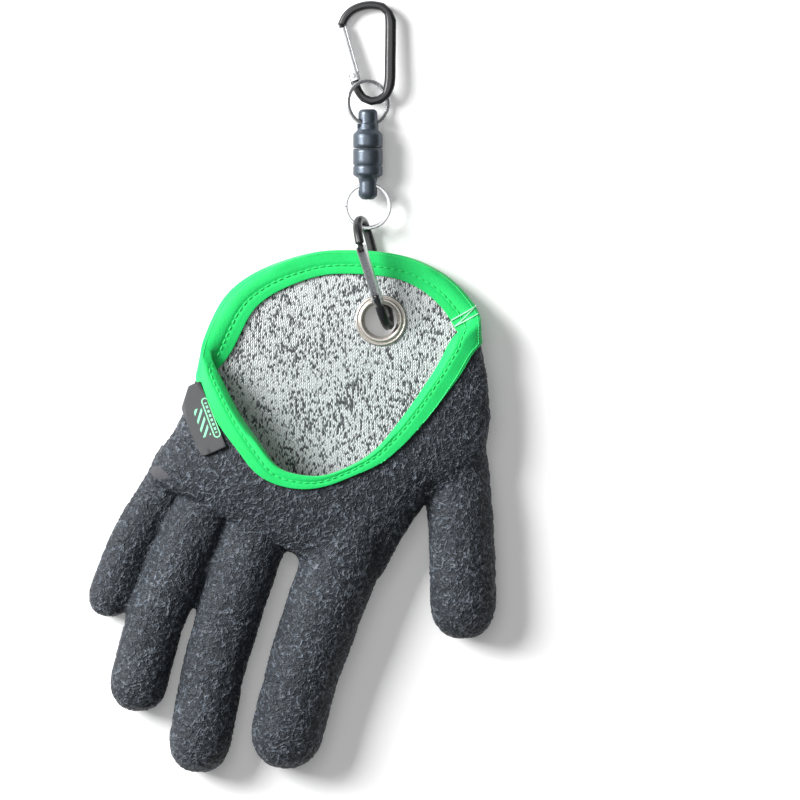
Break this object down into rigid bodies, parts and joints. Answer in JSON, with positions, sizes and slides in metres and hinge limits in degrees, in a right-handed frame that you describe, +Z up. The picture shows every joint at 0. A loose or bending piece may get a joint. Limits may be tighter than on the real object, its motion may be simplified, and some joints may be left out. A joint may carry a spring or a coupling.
{
  "type": "fishing glove",
  "caption": "Fishing glove for gripping fish: latex-coated knit hand with a bound open cuff and an eyelet, on a magnetic-release lanyard that ends in a snap hook.",
  "frame": {"origin": "middle of the whole, glove and lanyard laid out straight, on the surface it lies on", "axes": "+Y runs from the fingertips to the hanging hook, +X to the thumb side, +Z up from the surface"},
  "size_m": [0.1638, 0.309, 0.0272],
  "materials": {
    "latex": "matte crinkled",
    "knit": "knitted, flecked",
    "tape": "woven tape",
    "label": "matte",
    "nickel": "nickel plated",
    "black_metal": "black anodised, satin",
    "silver_metal": "bright satin",
    "ring_steel": "bright",
    "slate_metal": "slate anodised, satin"
  },
  "bodies": {
    "glove": {"coat_shell": "latex", "knit_liner": "knit", "cuff_binding": "tape", "side_label": "label", "eyelet_flange": "nickel", "eyelet_washer": "nickel", "eyelet_hook_body": "black_metal", "eyelet_hook_rivet": "silver_metal", "lower_split_ring": "ring_steel", "release_lower": "slate_metal", "release_lower_magnet": "nickel"},
    "eyelet_gate": {"eyelet_hook_gate": "silver_metal"},
    "hanger": {"release_upper": "slate_metal", "release_upper_magnet": "nickel", "upper_split_ring": "ring_steel", "hanger_hook_body": "black_metal", "hanger_hook_rivet": "silver_metal"},
    "hanger_gate": {"hanger_hook_gate": "silver_metal"}
  },
  "joints": [
    {"name": "eyelet_gate_hinge", "type": "hinge", "parent": "glove", "child": "eyelet_gate", "pos_m": [0.03393, 0.03493, 0.01756], "axis": [-0.9448, -0.2532, -0.2079], "range_deg": [0, 22], "stiffness_Nm_per_rad": 0.05, "springref_deg": -11.46},
    {"name": "magnet_release", "type": "slide", "parent": "glove", "child": "hanger", "axis": [0, 1, 0], "range_m": [0, 0.03], "stiffness_N_per_m": 50, "springref_m": -0.1},
    {"name": "hanger_gate_hinge", "type": "hinge", "parent": "hanger", "child": "hanger_gate", "pos_m": [0.02441, 0.12416, 0.0037], "axis": [0.1132, -0.0503, -0.9923], "range_deg": [0, 28], "stiffness_Nm_per_rad": 0.05, "springref_deg": -11.46}
  ]
}
